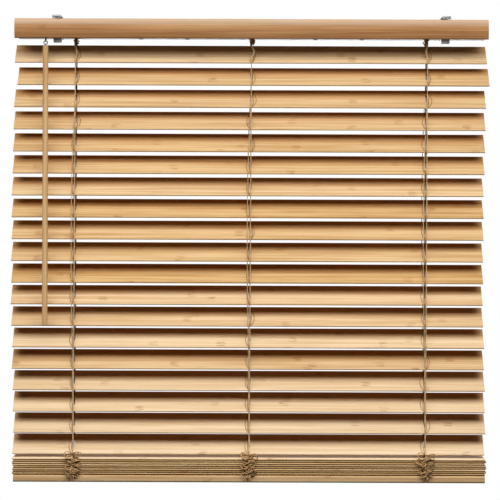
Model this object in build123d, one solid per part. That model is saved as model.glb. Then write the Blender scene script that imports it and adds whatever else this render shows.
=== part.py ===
from build123d import *
import math
import os

# Bamboo venetian blind for fixing under a ceiling or lintel, with a wand tilter and a cordless lift.
# Frame: +X to the viewer's right, -Y to the viewer, +Z up, in millimetres.
# The origin is the middle of the bracket screw holes, on the plane that the brackets are fixed to.
# The slats hang half closed, and the lowest slats lie stacked on the bottom rail.

# Fits shared by all pieces
seat_gap = 0.3
running_gap = 0.06
cut_overrun = 4.0

# Overall width, which the valance, headrail, slats and bottom rail follow
blind_width = 1000.0

# Valance board in front of the headrail
valance_height = 42.0
valance_thickness = 11.0
valance_drop = 7.0
valance_shoulder_round = 8.0
valance_bulge = 2.4
valance_edge_round = 1.5
valance_gap = 7.5
valance_clip_inset = 220.0
valance_clip_width = 20.0
valance_clip_sheet = 1.2
valance_clip_bend = 1.5
valance_clip_hook = 5.0
valance_clip_leg = 33.0
valance_clip_tongue = 22.0

# Headrail: a folded steel channel, open at the top
headrail_end_inset = 4.0
headrail_depth = 51.0
headrail_height = 36.0
headrail_wall = 0.8
headrail_lip = 6.0
headrail_drop = 7.5
headrail_fold_round = 1.6
end_cap_plate = 2.0
end_cap_plug = 10.0
end_cap_plug_wall = 2.0
end_cap_round = 2.0

# Brackets: one folded strip of spring steel each
bracket_inset = 88.5
bracket_width = 18.0
bracket_sheet = 1.2
bracket_bend = 1.8
bracket_hook_inset = 4.0
bracket_tab_inset = 7.5
bracket_tab_drop = 12.0
bracket_tab_round = 3.0
bracket_screw_spacing = 25.0
bracket_screw_radius = 2.25
bracket_slot_length = 8.0
bracket_slot_height = 1.6

# Slats
slat_overhang = 1.5
slat_width = 50.0
slat_thickness = 3.5
slat_pitch = 46.2
ladder_stretch = 5.6
hanging_slats = 19
stacked_slats = 8
stack_gap = 0.9
stack_lean = 3.0
first_slat_gap = 9.7
stack_space = 2.4
rest_tilt = 53.5
route_slot_length = 18.0
route_slot_width = 4.4
route_slot_chamfer = 1.2
hang_drift = 2.5
slat_slide = 8.0
# How far each slat lies off the middle of its ladders, as a share of the largest such slide.
slat_slide_shares = [
    -0.14, 0.58, -0.31, -0.41, -0.50, -0.60, -0.82, -0.79, -0.75, -0.84, -0.79, -0.89, -0.72,
    -0.40, -0.50, -0.20, -0.16, 0.02, -0.20, -0.10, 0.16, -0.18, 0.04, 0.22, -0.05, 0.12, -0.14,
]

# Bottom rail
rail_depth = 50.0
rail_height = 15.7
rail_edge_round = 4.0
rail_bore_radius = 1.3
rail_plug_radius = 6.0
rail_plug_depth = 3.0

# String ladders and lift cords
ladder_inset = 127.5
ladder_string_radius = 1.1
lift_cord_radius = 0.7
lift_cord_bend = 4.0
lift_cord_room = 0.25
lift_cord_seat = 8.0
bunch_width = 36.0
bunch_depth = 9.0
bunch_height = 60.0
bunch_level_shares = [0.0, 0.4, 0.8, 1.0]
bunch_girth_shares = [0.45, 1.0, 1.0, 0.45]

# Tilt rod, ladder drums and their cradles
rod_side = 5.0
rod_end_margin = 4.0
drum_radius = 12.0
drum_flange_radius = 13.5
drum_flange = 1.5
drum_length = 14.0
journal_radius = 4.4
cradle_floor = 1.6
cradle_wall = 2.5
cradle_side_inset = 5.5
cradle_wall_rise = 7.5
cradle_wall_depth = 20.0
ladder_window_length = 12.0
ladder_window_depth = 35.0
cord_notch_width = 4.0

# Tilter: gear, worm shaft and case
tilter_inset = 64.8
gear_width = 8.0
gear_teeth = 14
gear_tooth_height = 2.4
gear_tooth_root_share = 0.62
gear_tooth_tip_share = 0.3
gear_room = 0.5
worm_radius = 3.8
worm_length = 14.0
mesh_gap = 0.3
stem_radius = 2.0
stem_lean = 30.0
case_width = 26.0
case_back_wall = 2.5
case_edge_round = 2.0
snout_wall = 2.0
snout_end = 10.0
snout_room = 0.4
eye_ring_radius = 2.4
eye_wire_radius = 0.8
eye_drop_gap = 1.8

# Wand
wire_sides = 8
link_ring_radius = 4.2
link_wire_radius = 0.8
wand_shank_radius = 1.3
wand_shank_length = 14.0
wand_radius = 5.8
wand_length = 590.5
wand_end_chamfer = 1.2

# Spring motors of the lift
motor_length = 108.0
motor_side_inset = 4.5
motor_height = 25.0
motor_edge_round = 3.0
motor_trough_width = 13.0
motor_trough_depth = 14.0
motor_foot_length = 9.0
motor_foot_width = 3.5
motor_foot_inset = 11.5
motor_foot_proud = 1.0
motor_rib_count = 6
motor_rib_width = 2.0
motor_rib_height = 1.0

# Places worked out from the sizes above
headrail_length = blind_width - headrail_end_inset * 2
slat_length = blind_width + slat_overhang * 2
ladder_spacing = slat_length / 2 - ladder_inset
bracket_place = blind_width / 2 - bracket_inset
valance_clip_place = blind_width / 2 - valance_clip_inset
motor_place = ladder_spacing / 2
motor_depth = headrail_depth - motor_side_inset * 2
motor_foot_spacing = motor_length - motor_foot_length
cradle_depth = headrail_depth - cradle_side_inset * 2
headrail_top = -headrail_drop
headrail_bottom = headrail_top - headrail_height
headrail_floor = headrail_bottom + headrail_wall
headrail_front = -headrail_depth / 2
headrail_inner_half = headrail_depth / 2 - headrail_wall
valance_top = -valance_drop
valance_bottom = valance_top - valance_height
valance_back = headrail_front - valance_gap
valance_front = valance_back - valance_thickness
ladder_places = [-ladder_spacing, 0, ladder_spacing]
side_names = ["left", "centre", "right"]

edge_radius = slat_thickness / 2
edge_reach = slat_width / 2 - edge_radius
first_slat = headrail_bottom - first_slat_gap - slat_width / 2
last_slat = first_slat - slat_pitch * (hanging_slats - 1)
stack_top = last_slat - slat_width / 2 - stack_space
stack_pitch = slat_thickness + stack_gap
stack_bottom = stack_top - stack_pitch * stacked_slats
rail_top = stack_bottom
rail_bottom = rail_top - rail_height
hang_drop = first_slat - rail_bottom

cord_run = headrail_floor + cradle_floor + lift_cord_room + lift_cord_radius
rod_height = cord_run + lift_cord_radius + lift_cord_room + drum_flange_radius
cradle_span = drum_length + seat_gap * 2
journal_reach = cradle_span / 2 + cradle_wall

tilter_place = -blind_width / 2 + tilter_inset
eye_reach = eye_ring_radius + eye_wire_radius
eye_centre = Vector(
    tilter_place,
    valance_back,
    min(valance_bottom, headrail_bottom) - eye_drop_gap - eye_reach,
)
stem_up = Vector(0, math.sin(math.radians(stem_lean)), math.cos(math.radians(stem_lean)))
rod_from_eye = Vector(tilter_place, 0, rod_height) - eye_centre
worm_middle = rod_from_eye.dot(stem_up)
gear_distance = (rod_from_eye - stem_up * worm_middle).length
gear_tip_radius = gear_distance - worm_radius - mesh_gap
gear_root_radius = gear_tip_radius - gear_tooth_height
stem_frame = Plane(origin=eye_centre, x_dir=(1, 0, 0), z_dir=stem_up)

wand_ring_radius = link_wire_radius + eye_wire_radius + seat_gap
wand_ring_centre = eye_centre - Vector(0, 0, link_ring_radius * 2)
wand_top = wand_ring_centre.Z - wand_ring_radius - eye_wire_radius - seat_gap


def bar(face, length, middle=0):
    """Stretch a face drawn in Y and Z along X."""
    return Pos(middle, 0, 0) * extrude(Plane.YZ * face, length / 2, both=True)


def block(x_limits, y_limits, z_limits):
    """A box given by its limits along each axis."""
    spans = [limits[1] - limits[0] for limits in (x_limits, y_limits, z_limits)]
    middles = [(limits[1] + limits[0]) / 2 for limits in (x_limits, y_limits, z_limits)]
    return Pos(*middles) * Box(*spans)


def around(middle, span):
    """The limits of a span about its middle."""
    return (middle - span / 2, middle + span / 2)


def round_bar(start, end, radius):
    """A straight round bar from one point to another."""
    run = Vector(*end) - Vector(*start)
    return extrude(Plane(origin=start, z_dir=run.normalized()) * Circle(radius), run.length)


def along_x(radius, length, middle):
    """A cylinder along X."""
    return Pos(*middle) * Rot(0, 90, 0) * Cylinder(radius, length)


def wire_ring(radius, wire_radius):
    """A closed ring about Z, drawn with an eight-sided wire to keep its facets few."""
    wire = RegularPolygon(wire_radius, wire_sides, rotation=180 / wire_sides)
    return revolve(Plane.XZ * Pos(radius, 0) * wire, Axis.Z)


def folded_strip(points, sheet, bend, width, middle):
    """A sheet strip folded along points in Y and Z, with its width along X."""
    return bar(trace(FilletPolyline(*points, radius=bend), sheet), width, middle)


def hang_shift(height):
    """How far the ladders have drifted sideways at a height, because the blind hangs a little askew."""
    return -hang_drift * (first_slat - height) / hang_drop


def valance():
    """A board with a slightly convex front and a round shoulder."""
    edge = valance_front + valance_bulge
    middle = (valance_front, (valance_top + valance_bottom) / 2)
    sides = Polyline(
        (edge, valance_bottom), (valance_back, valance_bottom), (valance_back, valance_top), (edge, valance_top)
    )
    face = make_face(sides + ThreePointArc((edge, valance_top), middle, (edge, valance_bottom)))
    shoulder = face.vertices().sort_by(lambda corner: corner.Y - corner.X)[-1]
    face = fillet(shoulder, valance_shoulder_round)
    sharp = face.vertices().filter_by(lambda corner: abs(corner.X - valance_back) < seat_gap)
    foot = face.vertices().sort_by(lambda corner: corner.Y + corner.X)[:1]
    face = fillet(sharp + foot, valance_edge_round)
    return bar(face, blind_width)


def valance_clips():
    sheet_half = valance_clip_sheet / 2
    over = headrail_top + seat_gap + sheet_half
    hook = headrail_front + headrail_lip + seat_gap + sheet_half
    front = headrail_front - seat_gap - sheet_half
    tongue = valance_back + seat_gap + sheet_half
    points = [
        (hook, over - valance_clip_hook),
        (hook, over),
        (front, over),
        (front, over - valance_clip_leg),
        (tongue, over - valance_clip_leg),
        (tongue, over - valance_clip_leg + valance_clip_tongue),
    ]
    return [
        folded_strip(points, valance_clip_sheet, valance_clip_bend, valance_clip_width, place)
        for place in (-valance_clip_place, 0, valance_clip_place)
    ]


def headrail():
    middle = headrail_top - headrail_height / 2
    outer = Rectangle(headrail_depth, headrail_height)
    outer = fillet(outer.vertices(), headrail_fold_round)
    inner = Rectangle(headrail_depth - headrail_wall * 2, headrail_height - headrail_wall * 2)
    inner = fillet(inner.vertices(), headrail_fold_round - headrail_wall)
    mouth = Rectangle(headrail_depth - headrail_lip * 2, headrail_fold_round * 2)
    mouth = Pos(0, headrail_height / 2) * mouth
    channel = bar(Pos(0, middle) * (outer - inner - mouth), headrail_length)
    floor_cut = (headrail_bottom - cut_overrun, headrail_floor + cut_overrun / 2)
    for place in ladder_places:
        window = block(
            around(place, ladder_window_length), around(0, ladder_window_depth), floor_cut
        )
        channel -= window
    for place in motor_foot_places():
        slot = block(
            around(place, motor_foot_length + seat_gap * 2),
            around(motor_foot_row(), motor_foot_width + seat_gap * 2),
            floor_cut,
        )
        channel -= slot
    return channel - stem_cylinder(stem_radius + snout_wall + snout_room, 0, worm_middle)


def end_cap(side):
    outside = side * headrail_length / 2
    plate = Pos(0, headrail_top - headrail_height / 2) * RectangleRounded(
        headrail_depth, headrail_height, end_cap_round
    )
    plug_depth = (headrail_inner_half - seat_gap) * 2
    plug_height = headrail_height - (headrail_wall + seat_gap) * 2
    plug = Rectangle(plug_depth, plug_height) - Rectangle(
        plug_depth - end_cap_plug_wall * 2, plug_height - end_cap_plug_wall * 2
    )
    plug = Pos(0, headrail_top - headrail_height / 2) * plug
    cap = bar(plate, end_cap_plate, outside + side * end_cap_plate / 2)
    return cap + bar(plug, end_cap_plug, outside - side * end_cap_plug / 2)


def bracket(side):
    middle = side * bracket_place
    sheet_half = bracket_sheet / 2
    hook = valance_front + bracket_hook_inset
    back = headrail_depth / 2 + seat_gap + sheet_half
    under = headrail_bottom - seat_gap - sheet_half
    tab = headrail_front + bracket_tab_inset
    points = [
        (hook, valance_top + seat_gap),
        (hook, -sheet_half),
        (back, -sheet_half),
        (back, under),
        (tab, under),
        (tab, under - bracket_tab_drop),
    ]
    strip = folded_strip(points, bracket_sheet, bracket_bend, bracket_width, middle)
    screw_hole = Cylinder(bracket_screw_radius, bracket_sheet + cut_overrun / 2)
    for row in (-bracket_screw_spacing / 2, bracket_screw_spacing / 2):
        strip -= Pos(middle, row, -sheet_half) * screw_hole
    slot = block(
        around(middle, bracket_slot_length),
        around(hook, bracket_sheet * 2),
        around(-bracket_sheet - (valance_drop - bracket_sheet) / 2, bracket_slot_height),
    )
    corners = (
        strip.edges().filter_by(Axis.Y).group_by(Axis.Z)[0].sort_by(Axis.X)
    )
    return fillet(corners, bracket_tab_round) - slot


def slat(number, height, tilt):
    """A flat slat with round long edges and a route slot over each ladder."""
    slide = slat_slide * slat_slide_shares[number % len(slat_slide_shares)]
    blank = bar(SlotOverall(slat_width, slat_thickness), slat_length)
    slot = Rectangle(route_slot_width, route_slot_length)
    slot = chamfer(slot.vertices(), route_slot_chamfer)
    for place in ladder_places:
        blank -= Pos(place - slide, 0) * extrude(slot, slat_thickness, both=True)
    return Pos(hang_shift(height) + slide, 0, height) * Rot(tilt, 0, 0) * blank


def bottom_rail():
    shift = hang_shift(rail_top)
    middle = (rail_top + rail_bottom) / 2
    face = Pos(0, middle) * RectangleRounded(rail_depth, rail_height, rail_edge_round)
    rail = bar(face, blind_width, shift)
    for place in ladder_places:
        bore = Pos(place + shift, 0, middle) * Cylinder(rail_bore_radius, rail_height + cut_overrun)
        pocket = Pos(place + shift, 0, rail_bottom) * Cylinder(rail_plug_radius, rail_plug_depth * 2)
        rail = rail - bore - pocket
    return rail


def rail_plugs():
    shift = hang_shift(rail_top)
    plug_height = rail_plug_depth - seat_gap
    plug = Pos(shift, 0, rail_bottom + plug_height / 2) * Cylinder(rail_plug_radius - seat_gap, plug_height)
    return [Pos(place, 0, 0) * plug for place in ladder_places]


def ladder_string_row(side):
    """The Y of the front (-1) or back (1) ladder strings, and the rise of that slat edge from its axis."""
    tilt = math.radians(rest_tilt)
    offset = edge_radius + seat_gap + ladder_string_radius
    return side * (edge_reach * math.cos(tilt) + offset), side * edge_reach * math.sin(tilt)


def ladder_strings(side):
    row, rise = ladder_string_row(side)
    top = first_slat + rise
    foot = last_slat + rise
    strings = []
    for place in ladder_places:
        start = (place + hang_shift(top), row, top)
        end = (place + hang_shift(foot), row, foot)
        strings.append(round_bar(start, end, ladder_string_radius))
    return strings


def ladder_tops():
    strings = []
    drum_row = drum_radius + seat_gap + ladder_string_radius
    for place in ladder_places:
        for side in (-1, 1):
            row, rise = ladder_string_row(side)
            top = first_slat + rise + seat_gap
            start = (place, side * drum_row, rod_height)
            strings.append(round_bar(start, (place + hang_shift(top), row, top), ladder_string_radius))
    return strings


def ladder_bunches():
    """The slack of the ladder strings, gathered before and behind the stack."""
    bunches = []
    for place in ladder_places:
        for side in (-1, 1):
            row = side * (max(rail_depth, slat_width) / 2 + seat_gap + bunch_depth / 2)
            foot = Pos(place + hang_shift(rail_top), row, rail_bottom)
            rings = []
            for level, girth in zip(bunch_level_shares, bunch_girth_shares):
                ring = Ellipse(bunch_width * girth / 2, bunch_depth * girth / 2)
                rings.append(foot * Pos(0, 0, bunch_height * level) * ring)
            bunches.append(loft(rings, ruled=True))
    return bunches


def lift_cords():
    foot = rail_top - lift_cord_seat
    motor_ends = [
        -motor_place - motor_length / 2 - seat_gap,
        -motor_place + motor_length / 2 + seat_gap,
        motor_place + motor_length / 2 + seat_gap,
    ]
    cords = []
    for place, start in zip(ladder_places, motor_ends):
        path = FilletPolyline(
            (start, 0, cord_run),
            (place, 0, cord_run),
            (place + hang_shift(foot), 0, foot),
            radius=lift_cord_bend,
        )
        cords.append(sweep((path ^ 0) * Circle(lift_cord_radius), path=path))
    return cords


def tilt_rod():
    start = tilter_place - case_width / 2 - rod_end_margin
    end = ladder_spacing + journal_reach + rod_end_margin
    face = Pos(0, rod_height) * Rectangle(rod_side, rod_side)
    return bar(face, end - start, (start + end) / 2)


def rod_socket(length, middle):
    """The square hole through a piece that turns with the rod."""
    side = rod_side + running_gap * 2
    return bar(Pos(0, rod_height) * Rectangle(side, side), length + cut_overrun, middle)


def ladder_drum(place):
    middle = (place, 0, rod_height)
    drum = along_x(drum_radius, drum_length, middle) + along_x(journal_radius, journal_reach * 2, middle)
    for side in (-1, 1):
        flange = place + side * (drum_length - drum_flange) / 2
        drum += along_x(drum_flange_radius, drum_flange, (flange, 0, rod_height))
    return drum - rod_socket(journal_reach * 2, place)


def drum_cradle(place):
    length = cradle_span + cradle_wall * 2
    floor = block(
        around(place, length), around(0, cradle_depth), (headrail_floor, headrail_floor + cradle_floor)
    )
    wall_top = rod_height + cradle_wall_rise
    wall_face = Pos(0, rod_height) * Circle(cradle_wall_rise) + Pos(
        0, (headrail_floor + rod_height) / 2
    ) * Trapezoid(
        cradle_wall_depth * 2 - cradle_wall_rise * 2, rod_height - headrail_floor, trapezoid_lean()
    )
    cradle = floor
    for side in (-1, 1):
        cradle += bar(wall_face, cradle_wall, place + side * (cradle_span + cradle_wall) / 2)
    cradle -= along_x(journal_radius + running_gap, length + cut_overrun, (place, 0, rod_height))
    cradle -= block(
        around(place, ladder_window_length),
        around(0, ladder_window_depth),
        (headrail_floor - cut_overrun, headrail_floor + cradle_floor + lift_cord_room),
    )
    notch_top = cord_run + cord_notch_width / 2
    return cradle - block(
        around(place, length + cut_overrun),
        around(0, cord_notch_width),
        (headrail_floor + cradle_floor, min(notch_top, wall_top)),
    )


def trapezoid_lean():
    """The slope of a cradle wall, from its wide foot to the bearing's width."""
    narrowing = max(cradle_wall_depth - cradle_wall_rise * 2, seat_gap)
    return math.degrees(math.atan2(rod_height - headrail_floor, narrowing))


def stem_cylinder(radius, start, end):
    """A cylinder about the worm shaft's axis, by its distances from the eye."""
    return stem_frame * Pos(0, 0, (start + end) / 2) * Cylinder(radius, end - start)


def tilter_gear():
    middle = (tilter_place, 0, rod_height)
    pitch = 2 * math.pi * gear_root_radius / gear_teeth
    root_half = pitch * gear_tooth_root_share / 2
    tip_half = pitch * gear_tooth_tip_share / 2
    tooth = make_face(
        Polyline(
            (0, -root_half),
            (gear_root_radius, -root_half),
            (gear_tip_radius, -tip_half),
            (gear_tip_radius, tip_half),
            (gear_root_radius, root_half),
            (0, root_half),
            close=True,
        )
    )
    face = Circle(gear_root_radius)
    for step in range(gear_teeth):
        face += Rot(0, 0, 360 * step / gear_teeth) * tooth
    wheel = bar(Pos(0, rod_height) * face, gear_width, tilter_place)
    return wheel + along_x(journal_radius, case_width, middle) - rod_socket(case_width, tilter_place)


def tilter_worm():
    worm_start = worm_middle - worm_length / 2
    worm_end = worm_middle + worm_length / 2
    shaft = stem_cylinder(stem_radius, eye_ring_radius - eye_wire_radius / 3, worm_start + stem_radius)
    worm = stem_cylinder(worm_radius, worm_start, worm_end)
    eye = stem_frame * Rot(0, 90, 0) * wire_ring(eye_ring_radius, eye_wire_radius)
    return shaft + worm + eye


def tilter_case():
    """Both halves of the tilter's case, in one block with its chambers."""
    back = gear_tip_radius + gear_room + case_back_wall
    front = -headrail_inner_half + seat_gap
    top = headrail_top - headrail_wall - seat_gap
    foot = headrail_floor + seat_gap
    face = RectangleRounded(back - front, top - foot, case_edge_round)
    face = Pos((front + back) / 2, (top + foot) / 2) * face
    middle = (tilter_place, 0, rod_height)
    case = bar(face, case_width, tilter_place)
    case += stem_cylinder(stem_radius + snout_wall, snout_end, worm_middle - worm_length / 2)
    case -= along_x(gear_tip_radius + gear_room, gear_width + gear_room * 2, middle)
    case -= along_x(journal_radius + running_gap, case_width + cut_overrun, middle)
    case -= stem_cylinder(
        worm_radius + gear_room,
        worm_middle - worm_length / 2 - gear_room,
        worm_middle + worm_length / 2 + gear_room,
    )
    return case - stem_cylinder(stem_radius + running_gap, 0, worm_middle)


def tilter_case_half(side):
    reach = case_width / 2
    room = headrail_depth + headrail_height
    outer = tilter_place + side * reach
    half = block(
        (min(tilter_place, outer), max(tilter_place, outer)),
        around(0, room * 2),
        around(rod_height, room * 2),
    )
    return tilter_case() & half


def wand_link():
    centre = eye_centre - Vector(0, 0, link_ring_radius)
    return Pos(centre) * Rot(90, 0, 0) * wire_ring(link_ring_radius, link_wire_radius)


def wand_eye():
    ring = Pos(wand_ring_centre) * Rot(0, 90, 0) * wire_ring(wand_ring_radius, eye_wire_radius)
    shank_top = wand_ring_centre - Vector(0, 0, wand_ring_radius - eye_wire_radius / 3)
    shank_end = Vector(shank_top.X, shank_top.Y, wand_top - wand_shank_length)
    return ring + round_bar(shank_top, shank_end, wand_shank_radius)


def wand_stick():
    middle = Vector(wand_ring_centre.X, wand_ring_centre.Y, wand_top - wand_length / 2)
    stick = Pos(middle) * Cylinder(wand_radius, wand_length)
    stick = chamfer(stick.edges().filter_by(GeomType.CIRCLE), wand_end_chamfer)
    bore_depth = wand_shank_length + seat_gap
    bore = Pos(middle.X, middle.Y, wand_top) * Cylinder(wand_shank_radius + running_gap, bore_depth * 2)
    return stick - bore


def motor_foot_row():
    return headrail_depth / 2 - motor_foot_inset


def motor_foot_places():
    return [
        side * motor_place + end * motor_foot_spacing / 2 for side in (-1, 1) for end in (-1, 1)
    ]


def spring_motor(side):
    middle = side * motor_place
    foot = headrail_floor + seat_gap
    case = block(around(middle, motor_length), around(0, motor_depth), (foot, foot + motor_height))
    case = fillet(case.edges().filter_by(Axis.Z), motor_edge_round)
    trough = block(
        around(middle, motor_length + cut_overrun),
        around(0, motor_trough_width),
        (foot + motor_height - motor_trough_depth, foot + motor_height + cut_overrun),
    )
    case -= trough
    rib_depth = (motor_depth - motor_trough_width) / 2 - motor_edge_round
    rib_row = motor_trough_width / 2 + rib_depth / 2
    rib_step = (motor_length - motor_edge_round * 2) / motor_rib_count
    for step in range(motor_rib_count):
        place = middle + (step - (motor_rib_count - 1) / 2) * rib_step
        for row in (-rib_row, rib_row):
            case += block(
                around(place, motor_rib_width),
                around(row, rib_depth),
                (foot + motor_height, foot + motor_height + motor_rib_height),
            )
    for end in (-1, 1):
        case += block(
            around(middle + end * motor_foot_spacing / 2, motor_foot_length),
            around(motor_foot_row(), motor_foot_width),
            (headrail_bottom - motor_foot_proud, foot),
        )
    return case


def slat_tilt(number):
    """The hanging slats are half closed, and the stacked ones lie flat but for the top one, which leans."""
    if number < hanging_slats:
        return rest_tilt
    return stack_lean if number == hanging_slats else 0


def slat_height(number):
    """The height of a slat's axis; the ladders stretch more near the top, where they carry more slats."""
    if number < hanging_slats:
        share = number / (hanging_slats - 1)
        return first_slat - slat_pitch * number - ladder_stretch * 4 * share * (1 - share)
    rise = edge_reach * math.sin(math.radians(slat_tilt(number)))
    return stack_top - stack_pitch * (number - hanging_slats) - slat_thickness / 2 + rise


def all_pieces():
    pieces = {
        "valance": valance(),
        "valance_clips": valance_clips(),
        "headrail": headrail(),
        "headrail_end_cap_left": end_cap(-1),
        "headrail_end_cap_right": end_cap(1),
        "bracket_left": bracket(-1),
        "bracket_right": bracket(1),
        "tilter_case_left": tilter_case_half(-1),
        "tilter_case_right": tilter_case_half(1),
        "tilter_gear": tilter_gear(),
        "tilter_worm": tilter_worm(),
        "tilt_rod": tilt_rod(),
        "spring_motor_left": spring_motor(-1),
        "spring_motor_right": spring_motor(1),
        "wand_link": wand_link(),
        "wand_eye": wand_eye(),
        "wand_stick": wand_stick(),
        "bottom_rail": bottom_rail(),
        "bottom_rail_plugs": rail_plugs(),
        "ladder_front_strings": ladder_strings(-1),
        "ladder_back_strings": ladder_strings(1),
        "ladder_tops": ladder_tops(),
        "ladder_bunches": ladder_bunches(),
        "lift_cords": lift_cords(),
    }
    for name, place in zip(side_names, ladder_places):
        pieces["ladder_drum_" + name] = ladder_drum(place)
        pieces["drum_cradle_" + name] = drum_cradle(place)
    for number in range(hanging_slats + stacked_slats):
        pieces[f"slat_{number + 1:02d}"] = slat(number, slat_height(number), slat_tilt(number))
    return pieces


os.makedirs("parts", exist_ok=True)
for node, shape in all_pieces().items():
    solids = shape if isinstance(shape, list) else [shape]
    export_step(Compound(children=solids) if len(solids) > 1 else solids[0], f"parts/{node}.step")
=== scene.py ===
import math
import random

import bpy
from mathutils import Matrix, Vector


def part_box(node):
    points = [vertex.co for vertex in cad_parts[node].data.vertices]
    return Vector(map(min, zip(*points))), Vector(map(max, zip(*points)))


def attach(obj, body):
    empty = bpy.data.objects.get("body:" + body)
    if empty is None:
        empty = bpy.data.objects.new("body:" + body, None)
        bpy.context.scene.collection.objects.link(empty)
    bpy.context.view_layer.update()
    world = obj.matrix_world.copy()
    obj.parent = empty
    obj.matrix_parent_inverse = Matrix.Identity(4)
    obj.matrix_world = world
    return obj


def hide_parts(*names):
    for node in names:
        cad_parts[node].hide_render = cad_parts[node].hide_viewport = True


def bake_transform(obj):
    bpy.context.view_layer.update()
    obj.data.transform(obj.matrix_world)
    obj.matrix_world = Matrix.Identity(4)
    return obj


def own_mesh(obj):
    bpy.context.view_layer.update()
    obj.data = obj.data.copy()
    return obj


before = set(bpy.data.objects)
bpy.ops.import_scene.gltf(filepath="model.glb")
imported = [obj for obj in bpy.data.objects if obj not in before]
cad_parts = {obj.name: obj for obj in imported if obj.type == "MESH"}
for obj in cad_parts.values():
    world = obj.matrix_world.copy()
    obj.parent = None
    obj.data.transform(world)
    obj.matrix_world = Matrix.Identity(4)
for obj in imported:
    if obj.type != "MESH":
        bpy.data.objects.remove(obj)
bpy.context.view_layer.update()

# Lengths are in metres and angles in degrees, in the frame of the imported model.
# Slats: 19 hang in the ladders and 8 lie stacked on the bottom rail.
hanging_slats = 19
stacked_slats = 8
slat_half_width = 0.025
slat_half_thickness = 0.00175
slat_edge_reach = slat_half_width - slat_half_thickness
slat_rest_tilt = 53.5
stack_lean = 3.0
slat_strip_width = 0.0125

# Strings of the ladders, in front of the slats (-1) and behind them (1)
string_sides = [(-1, "front"), (1, "back")]
ladder_names = ["left", "centre", "right"]
ladder_places = [-0.374, 0, 0.374]
ladder_drift = 0.0025
ladder_drift_top = -0.0782
ladder_drift_length = 0.9091
string_row_gap = 0.0014
string_radius = 0.00125
string_lay = 0.0052
string_plies = 2
yarn_sides = 5
yarn_fill_share = 1.06
steps_in_lay = 7
fewest_steps = 8
half_share = 0.5
curve_order = 3
second_string_radius = 0.001
second_string_shares = [0.06, 0.2, 0.32, 0.45, 0.6, 0.72, 0.9]
second_string_offsets = [0.0012, -0.0045, -0.0066, -0.007, -0.0058, -0.0026, -0.0016]

# Tops of the ladders: two strings that wave aside in front of the first slat, and a knot of loops
drum_height = -0.0257
drum_string_row = 0.0134
headrail_floor_height = -0.0427
top_string_gap = -0.0019
top_wave_shares = [0.3, 0.6, 0.85]
top_waves = {
    "left": (-0.0008, 0.0050, 0.0010),
    "centre": (-0.0020, 0.0090, -0.0030),
    "right": (0.0012, -0.0030, 0.0024),
}
knot_out = 0.001
knot_drop = 0.0065
# Each loop of a knot: its reach, half width, lean and lift
knot_loops = {
    "left": [(0.0045, 0.0014, -10, 0.001), (0.0035, 0.0014, 190, -0.002), (0.0035, 0.0012, 0, -0.004)],
    "centre": [
        (0.0070, 0.0022, 0, -0.001), (0.0035, 0.0014, 180, 0.002), (0.0050, 0.0014, -12, -0.004),
        (0.0055, 0.0006, 4, -0.001),
    ],
    "right": [(0.0065, 0.0016, 190, 0.0), (0.0040, 0.0014, 0, 0.002), (0.0040, 0.0014, 195, -0.004)],
}

# Lift cords
lift_cord_radius = 0.00083
lift_cord_lay = 0.0045
cord_run_height = -0.04015
cord_seat = 0.008

# Rungs: shares of the swing aside and of the slat's half width along each rung
rung_radius = 0.0008
face_rung_radius = 0.00055
rung_sides = 5
rung_steps = 6
rung_pair_gap = 0.0021
rung_pair_shares = [(0.5, -1), (1, -0.5), (1, 0.5), (0.5, 1)]
rung_strand_shares = [1, 0.7]
rung_clearance = 0.00005
# How far off a slat's middle the rungs under it lie at each ladder; at the last two they press into the slat
rung_lies = [0.0026, 0.00235, 0.00235]
# The strands under a slat end where the lift cord sweeps as the slat tilts, before and behind the axis
rung_cord_clear = {-1: 0.0136, 1: 0.0096}
face_rung_lie = slat_half_thickness + face_rung_radius + rung_clearance
face_rung_shares = [(0.1, -1), (0.7, -0.8), (1.2, -0.35), (1.1, 0.1), (0.5, 0.6), (0, 1)]
face_rung_bulges = [(0.0022, 0.0045), (0.0058, 0.0095)]
# The rungs over the top slats bow to the right, and so do a few of the others
right_bowed_slats = 3
right_bowed_share = 0.15

# Gathered slack before and behind the stack
gather_row = 0.0285
gather_rise = 0.041
feet_steps = 12
slack_steps = 24
slack_sides = 6
bunch_string_radius = 0.001
bunch_levels = 6
bunch_level_loops = 5
bunch_face = 0.0254
bunch_depth = 0.007
bunch_outs = (0.001, 0.004)
bunch_head_room = 0.006
bunch_foot_room = 0.018
bunch_reaches = (0.010, 0.0195)
bunch_halves = (0.0028, 0.0062)
bunch_narrowing_share = 0.25
bunch_lean = 32
half_turn = 180
bunch_spread = 0.003
bunch_top_loop = (0.0185, 0.007, 155, 0)
bunch_foot_loop = (0.0135, 0.003, -88, 0)
bunch_foot_loop_rise = 0.016
loop_steps = 26
loop_bow_share = 1.6
# A direction out of the plane of the loops, a little askew so that no part of a loop runs along it
loop_askew = (0.001, 1, 0.002)

# Wire of the wand's hook
wire_radius = 0.0011
wire_steps = 40
wire_sides = 10

# Grain of the bamboo: how fast it changes in a metre along and across a strip
fibre_grain = (9.0, 700)
fibre_shift = 40
streak_grain = (3.2, 190)
streak_shift = 20
cloud_grain = (7.0, 30)
ragged_grain = (40, 700)
joint_shift = 9
joint_margin_share = 0.2
joint_wander_share = 0.6
joint_cut_share = 0.001
joint_least_width = 0.004
joint_ragged_width = 0.016
joint_core_share = 0.3
joint_ragged_shares = (0.42, 0.66)
thread_shares = (0.56, 0.72)
strip_tone_share = 0.5
cloud_tone_share = 0.5
band_wander = 0.006
fibre_roughness = 0.25
joint_roughness = 0.1
relief_shares = {"fibre": 0.6, "streak": 0.4, "joint": 0.5}
# Numbers that keep the draws of one bamboo finish apart
strip_tone_draw = 0.5
strip_shift_draw = 7.5
joint_draw = 2
streak_draw = 3
cloud_draw = 5
ragged_draw = 9

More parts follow.
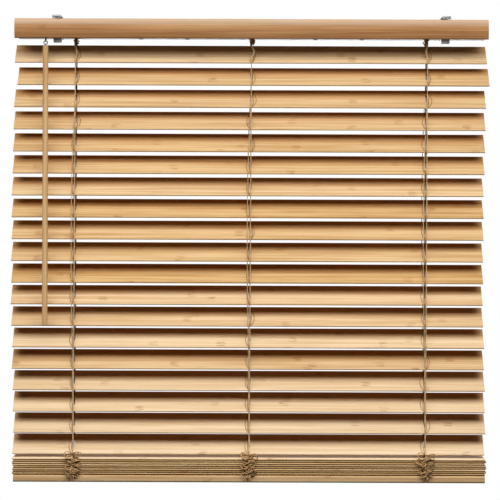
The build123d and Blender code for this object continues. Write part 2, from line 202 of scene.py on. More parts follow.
# Yarn, enamel, plated steel and plastic
hair_tone_share = 1.6
patch_tone_share = 0.9
yarn_roughness = 0.86
yarn_roughness_swing = 0.2
yarn_gloss = 0.04
enamel_roughness = 0.36
enamel_roughness_swing = 0.3
enamel_gloss = 0.5
dust_shares = (0.45, 0.8)
zinc_roughness = 0.34
bright_roughness = 0.3
brush_grain = (60, 0.5, 1400)
stain_shares = (0.35, 0.75)
stain_roughness = 0.2
brush_roughness = 0.15
flow_shares = (0.3, 0.8)
plastic_roughness = 0.55
plastic_roughness_swing = 0.2
plastic_gloss = 0.4

# Noises: scale, detail and roughness
fibre_noise = (1.0, 4.0, 0.6)
streak_noise = (1.0, 3.0, 0.6)
cloud_noise = (1.0, 2.0, 0.5)
ragged_noise = (1.0, 2.0, 0.6)
hair_noise = (2600.0, 2.0, 0.6)
patch_noise = (160.0, 2.0, 0.5)
peel_noise = (900.0, 2.0, 0.5)
dust_noise = (35.0, 3.0, 0.6)
brush_noise = (1.0, 2.0, 0.6)
stain_noise = (70.0, 3.0, 0.6)
pit_noise = (2200.0, 2.0, 0.6)
flow_noise = (40.0, 2.0, 0.5)
floor_noise = (6.0, 2.0, 0.5)

# Bumps: strength and depth
grain_bump = (0.25, 0.0004)
hair_bump = (0.5, 0.0002)
peel_bump = (0.12, 0.0001)
brush_bump = (0.15, 0.00008)
pit_bump = (0.2, 0.0001)

# Camera, lamps and surroundings
millimetres = 1000
picture_width = 0.036
camera_distance = 3.4
camera_height = -0.495
camera_side = -0.00175
camera_lens = 0.1147
camera_roll = -0.2
floor_height = -1.7
floor_reach = 2.2
floor_roughness = 0.8
key_place = (0, -1.35, 0.85)
key_aim = (0, -1.35, -1.0)
key_size = (3.6, 1.5)
key_power = 77.0
key_spread = 150.0
back_place = (0.3, 2.6, 0.1)
back_aim = (0, 0, -0.5)
back_size = (2.0, 2.0)
back_power = 20.0
back_spread = 180.0


def paint(red, green, blue):
    """A colour given as it looks on a screen, from 0 to 255, as the light value that shaders use."""
    def light(value):
        share = value / 255
        return share / 12.92 if share <= 0.04045 else ((share + 0.055) / 1.055) ** 2.4
    return (light(red), light(green), light(blue), 1)


class Signal:
    """The output of a node, for use in plain sums."""

    def __init__(self, finish, socket):
        self.finish = finish
        self.socket = socket

    def __add__(self, other):
        return self.finish.sum("ADD", self, other)

    def __radd__(self, other):
        return self.finish.sum("ADD", other, self)

    def __sub__(self, other):
        return self.finish.sum("SUBTRACT", self, other)

    def __rsub__(self, other):
        return self.finish.sum("SUBTRACT", other, self)

    def __mul__(self, other):
        return self.finish.sum("MULTIPLY", self, other)

    def __rmul__(self, other):
        return self.finish.sum("MULTIPLY", other, self)

    def __truediv__(self, other):
        return self.finish.sum("DIVIDE", self, other)


class Finish:
    """The nodes of one finish."""

    def __init__(self, tree):
        self.tree = tree
        self.tree.nodes.clear()

    def node(self, kind, settings=None, sockets=None, out=0):
        """Add a node, give it its settings, and then the values or links of its sockets."""
        made = self.tree.nodes.new(kind)
        for key, value in (settings or {}).items():
            setattr(made, key, value)
        for key, value in (sockets or {}).items():
            if isinstance(value, Signal):
                self.tree.links.new(value.socket, made.inputs[key])
            else:
                made.inputs[key].default_value = value
        return Signal(self, made.outputs[out]) if len(made.outputs) else None

    def sum(self, operation, first, second=0.0):
        return self.node("ShaderNodeMath", {"operation": operation}, {0: first, 1: second})

    def floor(self, value):
        return self.sum("FLOOR", value)

    def clamp(self, value):
        return self.node("ShaderNodeClamp", None, {"Value": value})

    def smooth(self, value, low, high):
        """Run from 0 to 1 as a value goes from low to high."""
        return self.node(
            "ShaderNodeMapRange",
            {"interpolation_type": "SMOOTHSTEP"},
            {"Value": value, "From Min": low, "From Max": high},
        )

    def mix(self, factor, first, second):
        """Mix two colours."""
        return self.node(
            "ShaderNodeMix",
            {"data_type": "RGBA", "blend_type": "MIX"},
            {0: factor, 6: first, 7: second},
            2,
        )

    def place(self):
        return self.node("ShaderNodeTexCoord", None, None, "Object")

    def along(self, place, direction):
        """How far a place lies along a direction."""
        return self.node(
            "ShaderNodeVectorMath",
            {"operation": "DOT_PRODUCT"},
            {0: place, 1: direction},
            "Value",
        )

    def point(self, x, y, z):
        return self.node("ShaderNodeCombineXYZ", None, {0: x, 1: y, 2: z})

    def noise(self, point, scale, detail, roughness):
        return self.node(
            "ShaderNodeTexNoise",
            {"noise_dimensions": "3D"},
            {"Vector": point, "Scale": scale, "Detail": detail, "Roughness": roughness},
        )

    def chance(self, x, y, z):
        """A number from 0 to 1 that differs from cell to cell."""
        point = self.point(x, y, z)
        return self.node("ShaderNodeTexWhiteNoise", {"noise_dimensions": "3D"}, {"Vector": point})

    def bump(self, height, strength, distance):
        return self.node(
            "ShaderNodeBump", None, {"Height": height, "Strength": strength, "Distance": distance}
        )

    def surface(self, sockets):
        shader = self.node("ShaderNodeBsdfPrincipled", None, sockets)
        self.node("ShaderNodeOutputMaterial", None, {"Surface": shader})


def new_finish(name):
    material = bpy.data.materials.new(name)
    material.use_nodes = True
    return material, Finish(material.node_tree)


def swing(noise):
    """A noise as its distance from its middle."""
    return noise - half_share


def joint_marks(finish, tone, seed, run, width, strip, strip_shift):
    """The ragged brown marks at the joints of the strips, from 0 to 1."""
    joint_run = run / tone["joint_spacing"] + strip_shift * joint_shift
    cell = finish.floor(joint_run)
    middle = cell + joint_margin_share + finish.chance(strip, cell, seed) * joint_wander_share
    offset = finish.sum("ABSOLUTE", (joint_run - middle) * tone["joint_spacing"])
    bare_share = 1 - tone["joint_share"]
    draw = finish.chance(strip, cell, seed + joint_draw)
    here = finish.smooth(draw, bare_share, bare_share + joint_cut_share)
    grain = finish.point(run * ragged_grain[0], width * ragged_grain[1], seed + ragged_draw)
    ragged = finish.noise(grain, *ragged_noise)
    reach = joint_least_width + ragged * joint_ragged_width
    mark = (1 - finish.smooth(offset, reach * joint_core_share, reach)) * here
    return mark * finish.smooth(ragged, *joint_ragged_shares)


def bamboo(name, tone, seed, along, across, middle):
    """Lacquered bamboo: strips side by side, each with fibres along it and a brown mark at its joints."""
    material, finish = new_finish(name)
    place = finish.place()
    run = finish.along(place, along)
    width = finish.along(place, across) - Vector(middle).dot(Vector(across))
    strip = finish.floor(width / slat_strip_width + seed)
    strip_tone = finish.chance(strip, seed, strip_tone_draw)
    strip_shift = finish.chance(strip, seed, strip_shift_draw)

    fibre_run = run * fibre_grain[0] + strip_shift * fibre_shift
    fibre = finish.noise(finish.point(fibre_run, width * fibre_grain[1], seed), *fibre_noise)
    streak_run = run * streak_grain[0] + strip_shift * streak_shift
    streak_place = finish.point(streak_run, width * streak_grain[1], seed + streak_draw)
    streak = finish.noise(streak_place, *streak_noise)
    cloud_place = finish.point(run * cloud_grain[0], width * cloud_grain[1], seed + cloud_draw)
    cloud = finish.noise(cloud_place, *cloud_noise)
    mark = joint_marks(finish, tone, seed, run, width, strip, strip_shift)

    tint = half_share + swing(streak) * tone["streak"] + swing(strip_tone) * strip_tone_share
    tint = finish.clamp(tint + swing(cloud) * cloud_tone_share)
    colour = finish.mix(tint, tone["dark"], tone["light"])
    colour = finish.mix(finish.smooth(fibre, *thread_shares) * tone["thread"], colour, tone["mark"])
    colour = finish.mix(mark * tone["joint"], colour, tone["mark"])
    # Below the slat's middle plane the colour turns to the underside tones: painted shade, darker undersides
    # that give less light back into the shadows below
    if tone["under"]:
        up = Vector(along).cross(Vector(across))
        above = finish.along(place, up) - Vector(middle).dot(up)
        under = 1 - finish.smooth(above, -slat_half_thickness, 0)
        colour = finish.mix(under, colour, finish.mix(tint, *tone["under"]))
    # Bands of painted light and shade over the width: the painted shadow on the slats, the painted highlight
    # and painted shade on the valance
    for begin, full, strength, shade in tone["bands"]:
        edge = width + swing(cloud) * band_wander
        band = finish.smooth(edge, min(begin, full), max(begin, full))
        band = band if full > begin else 1 - band
        colour = finish.mix(band * strength, colour, shade)
    relief = fibre * relief_shares["fibre"] + streak * relief_shares["streak"]
    relief = relief - mark * relief_shares["joint"]
    finish.surface(
        {
            "Base Color": colour,
            "Roughness": tone["roughness"] + swing(fibre) * fibre_roughness + mark * joint_roughness,
            "Normal": finish.bump(relief, *grain_bump),
            "Specular IOR Level": tone["gloss"],
        }
    )
    return material


def string_finish(name, light, dark):
    """Spun yarn, with a colour that changes from fibre to fibre."""
    material, finish = new_finish(name)
    place = finish.place()
    hair = finish.noise(place, *hair_noise)
    patch = finish.noise(place, *patch_noise)
    tint = finish.clamp(half_share + swing(hair) * hair_tone_share + swing(patch) * patch_tone_share)
    finish.surface(
        {
            "Base Color": finish.mix(tint, dark, light),
            "Roughness": yarn_roughness + swing(hair) * yarn_roughness_swing,
            "Normal": finish.bump(hair, *hair_bump),
            "Specular IOR Level": yarn_gloss,
        }
    )
    return material


def painted_steel(name, colour, shade):
    """Enamel on sheet steel, with a faint orange-peel surface and a little dust."""
    material, finish = new_finish(name)
    place = finish.place()
    peel = finish.noise(place, *peel_noise)
    dust = finish.noise(place, *dust_noise)
    finish.surface(
        {
            "Base Color": finish.mix(finish.smooth(dust, *dust_shares), colour, shade),
            "Roughness": enamel_roughness + swing(dust) * enamel_roughness_swing,
            "Normal": finish.bump(peel, *peel_bump),
            "Specular IOR Level": enamel_gloss,
        }
    )
    return material


def plated_steel(name, colour, shade, roughness):
    """Plated steel, brushed along the blind."""
    material, finish = new_finish(name)
    place = finish.place()
    run = finish.along(place, along_slats)
    rise = finish.along(place, upward)
    grain = finish.point(run * brush_grain[0], run * brush_grain[1], rise * brush_grain[2])
    brushed = finish.noise(grain, *brush_noise)
    stain = finish.noise(place, *stain_noise)
    finish.surface(
        {
            "Base Color": finish.mix(finish.smooth(stain, *stain_shares), colour, shade),
            "Metallic": 1.0,
            "Roughness": roughness + swing(stain) * stain_roughness + swing(brushed) * brush_roughness,
            "Normal": finish.bump(brushed, *brush_bump),
        }
    )
    return material


def moulded_plastic(name, colour, shade):
    """Matt moulded plastic with a fine spark-eroded texture."""
    material, finish = new_finish(name)
    place = finish.place()
    pit = finish.noise(place, *pit_noise)
    flow = finish.noise(place, *flow_noise)
    finish.surface(
        {
            "Base Color": finish.mix(finish.smooth(flow, *flow_shares), colour, shade),
            "Roughness": plastic_roughness + swing(pit) * plastic_roughness_swing,
            "Normal": finish.bump(pit, *pit_bump),
            "Specular IOR Level": plastic_gloss,
        }
    )
    return material


def middle_of(node):
    low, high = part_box(node)
    return (Vector(low) + Vector(high)) / 2


def slat_name(number):
    return f"slat_{number:02d}"


def slat_tilt(number):
    """The tilt of a slat at rest; the top one of the stack leans a little."""
    if number <= hanging_slats:
        return math.radians(slat_rest_tilt)
    return math.radians(stack_lean) if number == hanging_slats + 1 else 0


def slat_across(number):
    """The direction over a slat, from its front edge to its back edge."""
    tilt = slat_tilt(number)
    return (0, math.cos(tilt), math.sin(tilt))


def ladder_shift(height):
    """How far the ladders have drifted aside at a height."""
    return -ladder_drift * (ladder_drift_top - height) / ladder_drift_length


def on_slat(number, side, across, above):
    """A place on a slat: along X, over its width from the middle, and off its middle plane."""
    tilt = slat_tilt(number)
    height = middle_of(slat_name(number)).z
    return Vector(
        (
            side,
            across * math.cos(tilt) - above * math.sin(tilt),
            height + across * math.sin(tilt) + above * math.cos(tilt),
        )
    )


def smooth_line(points, steps):
    """Points along a smooth curve that is drawn by its control points."""
    curve = bpy.data.curves.new("route", "CURVE")
    curve.dimensions = "3D"
    curve.resolution_u = steps
    spline = curve.splines.new("NURBS")
    spline.points.add(len(points) - 1)
    for control, place in zip(spline.points, points):
        control.co = (*place, 1)
    spline.order_u = curve_order
    spline.use_endpoint_u = True
    spline.resolution_u = steps
    route = bpy.data.objects.new("route", curve)
    mesh = bpy.data.meshes.new_from_object(route)
    line = [vertex.co.copy() for vertex in mesh.vertices]
    bpy.data.objects.remove(route)
    bpy.data.curves.remove(curve)
    bpy.data.meshes.remove(mesh)
    return line


def frames_along(line, aside):
    """The two directions square to a line at each of its points."""
    frames = []
    for number, place in enumerate(line):
        ahead = line[min(number + 1, len(line) - 1)] - line[max(number - 1, 0)]
        first = ahead.cross(Vector(aside)).normalized()
        frames.append((first, ahead.cross(first).normalized()))
    return frames


def runs_along(line):
    """How far each point of a line is from its start."""
    run = 0.0
    runs = [run]
    for before, after in zip(line, line[1:]):
        run += (after - before).length
        runs.append(run)
    return runs


def ring_round(place, first, second, radius, sides, start=0):
    """A ring of points round a place."""
    ring = []
    for side in range(sides):
        turn = start + 2 * math.pi * side / sides
        ring.append(place + (first * math.cos(turn) + second * math.sin(turn)) * radius)
    return ring


class Skein:
    """Strings gathered into one mesh."""

    def __init__(self):
        self.vertices = []
        self.faces = []

    def rings(self, rings, closed):
        """Join rings of points into a tube, with its ends covered unless it is a closed loop."""
        sides = len(rings[0])
        start = len(self.vertices)
        for ring in rings:
            self.vertices.extend(ring)
        joins = len(rings) if closed else len(rings) - 1
        for step in range(joins):
            low = start + step * sides
            high = start + (step + 1) % len(rings) * sides
            for side in range(sides):
                after = (side + 1) % sides
                self.faces.append((low + side, low + after, high + after, high + side))
        if not closed:
            last = start + (len(rings) - 1) * sides
            self.faces.append(tuple(range(start + sides - 1, start - 1, -1)))
            self.faces.append(tuple(range(last, last + sides)))

    def tube(self, line, radius, sides, aside, closed=False):
        rings = []
        for place, (first, second) in zip(line, frames_along(line, aside)):
            rings.append(ring_round(place, first, second, radius, sides))
        self.rings(rings, closed)

    def twisted(self, line, radius, lay, aside):
        """A string of yarns laid round each other."""
        frames = frames_along(line, aside)
        runs = runs_along(line)
        yarn_radius = radius / 2
        for yarn in range(string_plies):
            rings = []
            for place, (first, second), run in zip(line, frames, runs):
                turn = 2 * math.pi * (run / lay + yarn / string_plies)
                centre = place + (first * math.cos(turn) + second * math.sin(turn)) * yarn_radius
                ring = ring_round(centre, first, second, yarn_radius * yarn_fill_share, yarn_sides, turn)
                rings.append(ring)
            self.rings(rings, False)

    def loops(self, centre, shapes, side):
        """Slack loops that start and end at one place; a shape is reach, half width, lean and lift."""
        for reach, half, lean, lift in shapes:
            run = Vector((math.cos(math.radians(lean)), 0, math.sin(math.radians(lean))))
            aside = Vector((-run.z, 0, run.x))
            line = []
            for step in range(loop_steps):
                turn = 2 * math.pi * step / loop_steps
                share = (1 - math.cos(turn)) / 2
                bow = bunch_depth * loop_bow_share * share * (1 - share)
                out = 2 * bunch_string_radius * math.sin(turn) + bow
                start = centre + Vector((0, side * out, lift))
                line.append(start + run * reach * share + aside * half * math.sin(turn))
            self.tube(line, bunch_string_radius, rung_sides, loop_askew, closed=True)

    def piece(self, name, finish):
        mesh = bpy.data.meshes.new(name)
        mesh.from_pydata(self.vertices, [], self.faces)
        mesh.polygons.foreach_set("use_smooth", [True] * len(mesh.polygons))
        mesh.update()
        mesh.materials.append(finish)
        made = bpy.data.objects.new(name, mesh)
        bpy.context.scene.collection.objects.link(made)
        return made


# Directions
along_slats = (1, 0, 0)
inward = (0, 1, 0)
upward = (0, 0, 1)
rail_across = (0, 0.6, 0.8)
wand_across = (0.8, 0.6, 0)

# Tones of the bamboo
light_draws = random.Random(41)
light_swing = 3
seed_step = 3.7
valance_seed = 91.3
rail_seed = 77.1
wand_seed = 63.9
# Each band over the width: where it begins and is full, its strength and its colour. The bands are painted
# light and shade laid over the bamboo's own tones
# Slats: painted shade, a deeper warm band over the back part of each slat, where the slat above casts its
# shadow
slat_painted_shade_bands = [(-0.004, 0.010, 0.5, paint(212, 144, 74))]
# Valance: a painted highlight along its top and painted shade darkening towards its bottom, as the light
# from above falls on its rounded front
valance_painted_light_bands = [(0.004, 0.012, 0.5, paint(240, 212, 182)), (0.0, -0.021, 0.42, paint(132, 88, 48))]
slat_tone = {
    "mark": paint(164, 98, 46),
    "thread": 0.36,
    "joint": 0.6,
    "joint_spacing": 0.26,
    "joint_share": 0.4,
    "streak": 3.6,
    "gloss": 0.05,
    "roughness": 0.58,
    "bands": slat_painted_shade_bands,
    "under": None,
}
valance_tone = dict(
    slat_tone,
    light=paint(210, 158, 104),
    dark=paint(172, 118, 68),
    thread=0.42,
    streak=3.4,
    gloss=0.3,
    roughness=0.46,
    bands=valance_painted_light_bands,
)
rail_tone = dict(slat_tone, light=paint(240, 206, 158), dark=paint(216, 172, 120), bands=[])
wand_tone = dict(rail_tone, light=paint(240, 202, 150), dark=paint(216, 170, 116), joint_share=0.1)
deep_light = (228, 193, 143)
deep_dark = (203, 161, 109)
pale_light = (243, 216, 177)
pale_dark = (229, 195, 151)
# Undersides of the slats: painted shade, a darker copy of the bamboo that keeps their bounce into the
# shadows on the faces below low
underside_painted_shade_tones = [paint(190, 136, 80), paint(214, 164, 108)]
# How pale each hanging slat is, from the top one down; the top slat's extra paleness is painted light,
# against the shade that the valance casts on it
slat_paleness_and_painted_light = [
    0.6, 0.1, 0.15, 0.15, 0.0, -0.1, 0.35, -0.35, -0.1, 0.05,
    -0.6, 0.5, 0.45, 0.8, 0.1, 0.95, 0.95, 1.1, 1.15,
]
# The top slat of the stack is as pale as a pale hanging one, and those below it have tones of their own
stack_light = (224, 190, 140)
stack_dark = (196, 160, 110)
stack_lifts = [0, -30, 8, 4, -28, 20, -30, 0]


def dress(node, finish):
    """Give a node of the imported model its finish."""
    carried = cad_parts[node]
    for slot in carried.material_slots:
        slot.material = finish


def between(deep, pale, share, lift):
    return [low + (high - low) * share + lift for low, high in zip(deep, pale)]


def slat_colours(number):
    """The tones of a slat, which differ a little from those of the next one."""
    lift = light_draws.uniform(-light_swing, light_swing)
    share = slat_paleness_and_painted_light[number - 1] if number <= hanging_slats else 1
    light = between(deep_light, pale_light, share, lift)
    dark = between(deep_dark, pale_dark, share, lift)
    if number > hanging_slats + 1:
        lift += stack_lifts[number - hanging_slats - 1]
        light = [value + lift for value in stack_light]
        dark = [value + lift for value in stack_dark]
    return dict(slat_tone, light=paint(*light), dark=paint(*dark), under=underside_painted_shade_tones)


def dress_bamboo(node, name, tone, seed, along, across):
    dress(node, bamboo(name, tone, seed, along, across, middle_of(node)))


for number in range(1, hanging_slats + stacked_slats + 1):
    node = slat_name(number)
    tone = slat_colours(number)
    dress_bamboo(node, "bamboo_" + node, tone, number * seed_step, along_slats, slat_across(number))
dress_bamboo("valance", "bamboo_valance", valance_tone, valance_seed, along_slats, upward)
dress_bamboo("bottom_rail", "bamboo_rail", rail_tone, rail_seed, along_slats, rail_across)
dress_bamboo("wand_stick", "bamboo_wand", wand_tone, wand_seed, upward, wand_across)

# Other finishes
white_enamel = painted_steel("white_enamel", paint(226, 224, 219), paint(208, 205, 199))
zinc_plate = plated_steel("zinc_plate", paint(144, 144, 142), paint(102, 102, 102), zinc_roughness)
bright_plate = plated_steel("bright_plate", paint(108, 106, 102), paint(70, 68, 66), bright_roughness)
drawn_steel = plated_steel("drawn_steel", paint(176, 176, 176), paint(146, 146, 148), bright_roughness)
pale_plastic = moulded_plastic("pale_plastic", paint(214, 208, 196), paint(198, 191, 178))
dark_plastic = moulded_plastic("dark_plastic", paint(48, 45, 42), paint(36, 34, 32))
ladder_yarn = string_finish("ladder_yarn", paint(252, 226, 178), paint(222, 182, 126))
dark_yarn = string_finish("dark_yarn", paint(112, 80, 46), paint(66, 44, 26))
slack_yarn = string_finish("slack_yarn", paint(240, 204, 150), paint(158, 112, 66))
# Yarn of the back strings: painted shade, a darker copy of the ladder yarn, as they hang in the shade behind
# the slats
painted_shade_yarn = string_finish("painted_shade_yarn", paint(128, 94, 56), paint(86, 60, 34))
rung_yarn = string_finish("rung_yarn", paint(184, 136, 82), paint(132, 88, 46))

dress("headrail", white_enamel)
dress("tilt_rod", drawn_steel)
for node in ("bracket_left", "bracket_right", "valance_clips"):
    dress(node, zinc_plate)
for node in ("wand_link", "wand_eye", "tilter_worm"):
    dress(node, bright_plate)
for node in ("tilter_gear", "bottom_rail_plugs"):
    dress(node, pale_plastic)
for end in ("left", "right"):
    dress("headrail_end_cap_" + end, pale_plastic)
    dress("tilter_case_" + end, pale_plastic)
    dress("spring_motor_" + end, dark_plastic)
for name in ladder_names:
    dress("ladder_drum_" + name, pale_plastic)
    dress("drum_cradle_" + name, dark_plastic)


# Strings
def string_row(side):
    """The row of the front or back strings, and the rise of that slat edge from its axis."""
    tilt = math.radians(slat_rest_tilt)
    return (
        side * (slat_edge_reach * math.cos(tilt) + slat_half_thickness + string_row_gap),
        side * slat_edge_reach * math.sin(tilt),
    )


def ladder_point(place, row, height):
    return Vector((place + ladder_shift(height), row, height))


def twist_steps(length, lay):
    return max(fewest_steps, int(length / lay * steps_in_lay))


first_height = middle_of(slat_name(1)).z
last_height = middle_of(slat_name(hanging_slats)).z
rail_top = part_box("bottom_rail")[1][2]
gather_height = rail_top + gather_rise
cord_foot = rail_top - cord_seat


def ladder_cords(side, side_name):
    """The strings along the hanging slats, each with a slacker second string beside it."""
    row, rise = string_row(side)
    skein = Skein()
    for place in ladder_places:
        top = ladder_point(place, row, first_height + rise)
        foot = ladder_point(place, row, last_height + rise)
        length = (foot - top).length
        line = smooth_line([top, (top + foot) / 2, foot], twist_steps(length / 2, string_lay))
        skein.twisted(line, string_radius, string_lay, inward)
        points = [top]
        for share, aside in zip(second_string_shares, second_string_offsets):
            points.append(top.lerp(foot, share) + Vector((aside, 0, 0)))
        line = smooth_line(points + [foot], twist_steps(length / len(points), string_lay))
        skein.twisted(line, second_string_radius, string_lay, inward)
    # The back strings take the darker yarn: painted shade
    yarn = ladder_yarn if side < 0 else painted_shade_yarn
    strings = skein.piece("ladder_cords_" + side_name, yarn)
    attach(strings, side_name + "_strings")
    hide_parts(f"ladder_{side_name}_strings")


def ladder_tops(side, side_name):
    """The strings from the drums to the edge of the first slat, and the knots under the headrail."""
    row, rise = string_row(side)
    foot_height = first_height + rise
    skein = Skein()
    knots = Skein()
    for place, name in zip(ladder_places, ladder_names):
        head = Vector((place, side * drum_string_row, drum_height))
        window = Vector((place, side * drum_string_row, headrail_floor_height))
        foot = ladder_point(place, row, foot_height)
        for aside in (0, top_string_gap):
            points = [head, window]
            for share, wave in zip(top_wave_shares, top_waves[name]):
                sway = wave + aside if side < 0 else aside
                points.append(window.lerp(foot, share) + Vector((sway, 0, 0)))
            points.append(foot)
            line = smooth_line(points, twist_steps((foot - head).length / len(points), string_lay))
            skein.twisted(line, string_radius, string_lay, inward)
        knots.loops(window + Vector((0, side * knot_out, -knot_drop)), knot_loops[name], side)
    knot = knots.piece("ladder_knots_" + side_name, slack_yarn)
    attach(knot, "headrail")
    strings = skein.piece("ladder_tops_" + side_name, ladder_yarn)
    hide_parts("ladder_tops")
    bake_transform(strings)


def ladder_feet(side, side_name):
    """The strings from the last hanging slat to the gathered slack, and on from there to the bottom rail."""
    row, rise = string_row(side)
    edge_height = last_height + rise
    gather = side * gather_row
    upper = Skein()
    lower = Skein()
    for place in ladder_places:
        edge = ladder_point(place, row, edge_height)
        knot = ladder_point(place, gather, gather_height)
        foot = ladder_point(place, gather, rail_top)
        line = smooth_line([edge, edge.lerp(knot, half_share), knot], feet_steps)
        upper.twisted(line, string_radius, string_lay, along_slats)
        line = smooth_line([knot, knot.lerp(foot, half_share), foot], slack_steps)
        lower.tube(line, string_radius, slack_sides, along_slats)
    strings = upper.piece("ladder_feet_" + side_name, ladder_yarn)
    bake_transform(strings)
    strings = lower.piece("ladder_slack_" + side_name, ladder_yarn)
    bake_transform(strings)


def lift_cords():
    """The cords that run down through the route slots of the slats to the bottom rail."""
    skein = Skein()
    for place in ladder_places:
        head = Vector((place, 0, cord_run_height))
        knee = ladder_point(place, 0, last_height)
        foot = ladder_point(place, 0, cord_foot)
        points = [head, (head + knee) / 2, knee, foot]
        steps = twist_steps((foot - head).length / (len(points) - 1), lift_cord_lay)
        line = smooth_line(points, steps)
        skein.twisted(line, lift_cord_radius, lift_cord_lay, inward)
    cords = skein.piece("lift_cords_hung", dark_yarn)
    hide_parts("lift_cords")
    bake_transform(cords)


# Rungs: a pair under each slat with a strand from either string, and two slack ones over its face
rung_draws = random.Random(17)
rung_reach = slat_half_width + string_row_gap


def rung_line(number, centre, aside, shares, lie):
    """A line from string to string over a slat or under it."""
    points = [on_slat(number, centre, -rung_reach, 0)]
    for aside_share, across_share in shares:
        points.append(on_slat(number, centre + aside * aside_share, slat_half_width * across_share, lie))
    points.append(on_slat(number, centre, rung_reach, 0))
    return smooth_line(points, rung_steps)


def strand_line(number, centre, end, lie):
    """A line from one string to the lift cord's room under a slat."""
    points = [on_slat(number, centre, end * rung_reach, 0)]
    for share in rung_strand_shares:
        points.append(on_slat(number, centre, end * slat_half_width * share, lie))
    points.append(on_slat(number, centre, end * rung_cord_clear[end], lie))
    return smooth_line(points, rung_steps)


def rungs(number):
    skein = Skein()
    height = middle_of(slat_name(number)).z
    for place, lie in zip(ladder_places, rung_lies):
        centre = place + ladder_shift(height)
        for end in (-1, 1):
            line = rung_line(number, centre, end * rung_pair_gap, rung_pair_shares, -lie)
            skein.tube(line, rung_radius, rung_sides, along_slats)
        for end in (-1, 1):
            skein.tube(strand_line(number, centre, end, -lie), rung_radius, rung_sides, along_slats)
        bow = 1 if number <= right_bowed_slats or rung_draws.random() < right_bowed_share else -1
        for low, high in face_rung_bulges:
            bulge = bow * rung_draws.uniform(low, high)
            line = rung_line(number, centre, bulge, face_rung_shares, face_rung_lie)
            skein.tube(line, face_rung_radius, rung_sides, along_slats)
    strings = skein.piece(f"rungs_{number:02d}", rung_yarn)
    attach(strings, slat_name(number))


# Gathered slack: loops of string piled up before and behind the stack at each ladder
bunch_draws = random.Random(23)
bunch_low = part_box("ladder_bunches")[0][2]
bunch_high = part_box("ladder_bunches")[1][2]


def bunch_loop(skein, side, centre, share, turn):
    """One loop of a bunch, at a share of the way down it."""
    top = bunch_high - bunch_head_room
    height = top - (top - bunch_low - bunch_foot_room) * share
    lean = bunch_draws.uniform(-bunch_lean, bunch_lean) + half_turn * (turn % 2)
    reach = bunch_draws.uniform(*bunch_reaches) * (1 - bunch_narrowing_share * share)
    half = bunch_draws.uniform(*bunch_halves)
    out = bunch_face + bunch_draws.uniform(*bunch_outs)
    start = Vector((centre + bunch_draws.uniform(-bunch_spread, bunch_spread), side * out, height))
    lift = bunch_draws.uniform(-bunch_spread, bunch_spread)
    skein.loops(start, [(reach, half, lean, lift)], side)


def ladder_bunches(side, side_name):
    skein = Skein()
    for place in ladder_places:
        centre = place + ladder_shift(rail_top)
        for level in range(bunch_levels):
            for turn in range(bunch_level_loops):
                bunch_loop(skein, side, centre, level / (bunch_levels - 1), turn)
        out = side * (bunch_face + bunch_depth / 2)
        skein.loops(Vector((centre, out, bunch_high - bunch_head_room)), [bunch_top_loop], side)
        skein.loops(Vector((centre, out, bunch_low + bunch_foot_loop_rise)), [bunch_foot_loop], side)
    bunch = skein.piece("ladder_bunches_" + side_name, slack_yarn)
    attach(bunch, "bottom_rail")
    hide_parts("ladder_bunches")
    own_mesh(bunch)


def wand_hook():
    """The hook of the wand: a ring of wire that hangs in the eye of the tilter."""
    low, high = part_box("wand_link")
    centre = middle_of("wand_link")
    radius = (high[0] - low[0]) / 2 - wire_radius
    line = ring_round(centre, Vector(along_slats), Vector(upward), radius, wire_steps)
    skein = Skein()
    skein.tube(line, wire_radius, wire_sides, inward, closed=True)
    hook = skein.piece("wand_hook", bright_plate)
    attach(hook, "wand_link")
    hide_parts("wand_link")


for side, side_name in string_sides:
    ladder_cords(side, side_name)
for side, side_name in string_sides:
    ladder_tops(side, side_name)
for side, side_name in string_sides:
    ladder_feet(side, side_name)
lift_cords()
for number in range(1, hanging_slats + 1):
    rungs(number)
for side, side_name in string_sides:
    ladder_bunches(side, side_name)
wand_hook()

# Camera
camera_data = bpy.data.cameras.new("camera")
camera_data.sensor_width = picture_width * millimetres
camera_data.lens = camera_lens * millimetres
camera = bpy.data.objects.new("camera", camera_data)
camera.location = (camera_side, -camera_distance, camera_height)
camera.rotation_euler = (math.pi / 2, math.radians(camera_roll), 0)
bpy.context.scene.collection.objects.link(camera)
bpy.context.scene.camera = camera


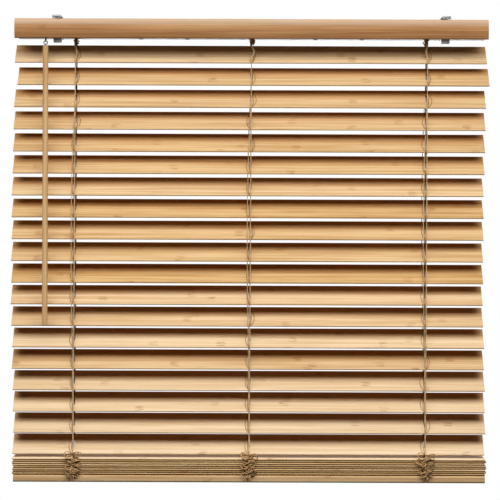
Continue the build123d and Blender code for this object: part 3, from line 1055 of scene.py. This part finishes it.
# Lamps
def soft_lamp(name, place, aim, size, power, spread):
    lamp_data = bpy.data.lights.new(name, "AREA")
    lamp_data.shape = "RECTANGLE"
    lamp_data.size = size[0]
    lamp_data.size_y = size[1]
    lamp_data.energy = power
    lamp_data.spread = math.radians(spread)
    lamp = bpy.data.objects.new(name, lamp_data)
    lamp.location = place
    lamp.rotation_euler = (Vector(aim) - Vector(place)).to_track_quat("-Z", "Y").to_euler()
    bpy.context.scene.collection.objects.link(lamp)


soft_lamp("key_lamp", key_place, key_aim, key_size, key_power, key_spread)
soft_lamp("back_lamp", back_place, back_aim, back_size, back_power, back_spread)

# Surroundings: white where they are looked at, straight or by a reflection, and without light of their own
white = (1, 1, 1, 1)
black = (0, 0, 0, 1)
world = bpy.data.worlds.new("surroundings")
world.use_nodes = True
bpy.context.scene.world = world
surroundings = Finish(world.node_tree)
looked_at, mirrored, seen_through = [
    surroundings.node("ShaderNodeLightPath", None, None, ray)
    for ray in ("Is Camera Ray", "Is Glossy Ray", "Is Transmission Ray")
]
seen = surroundings.sum("MAXIMUM", surroundings.sum("MAXIMUM", looked_at, mirrored), seen_through)
backdrop = surroundings.node("ShaderNodeBackground", None, {"Color": white, "Strength": seen})
surroundings.node("ShaderNodeOutputWorld", None, {"Surface": backdrop})

# Floor: pale where the camera sees it, and darker in the light that it gives back
floor_corners = [
    (-floor_reach, -floor_reach, floor_height),
    (floor_reach, -floor_reach, floor_height),
    (floor_reach, floor_reach, floor_height),
    (-floor_reach, floor_reach, floor_height),
]
floor_mesh = bpy.data.meshes.new("floor")
floor_mesh.from_pydata(floor_corners, [], [(0, 1, 2, 3)])
floor_material, floor_finish = new_finish("pale_floor")
floor_seen = floor_finish.node("ShaderNodeLightPath", None, None, "Is Camera Ray")
floor_cloud = floor_finish.noise(floor_finish.place(), *floor_noise)
floor_pale = floor_finish.mix(floor_cloud, paint(116, 116, 114), paint(122, 122, 120))
floor_bounce = paint(70, 70, 68)
floor_glow = paint(208, 208, 206)
floor_finish.surface(
    {
        "Base Color": floor_finish.mix(floor_seen, floor_bounce, floor_pale),
        "Roughness": floor_roughness,
        "Specular IOR Level": 0.0,
        "Emission Color": floor_finish.mix(floor_seen, black, floor_glow),
        "Emission Strength": 1.0,
    }
)
floor_mesh.materials.append(floor_material)
floor = bpy.data.objects.new("floor", floor_mesh)
bpy.context.scene.collection.objects.link(floor)

bpy.context.scene.view_settings.view_transform = "Standard"
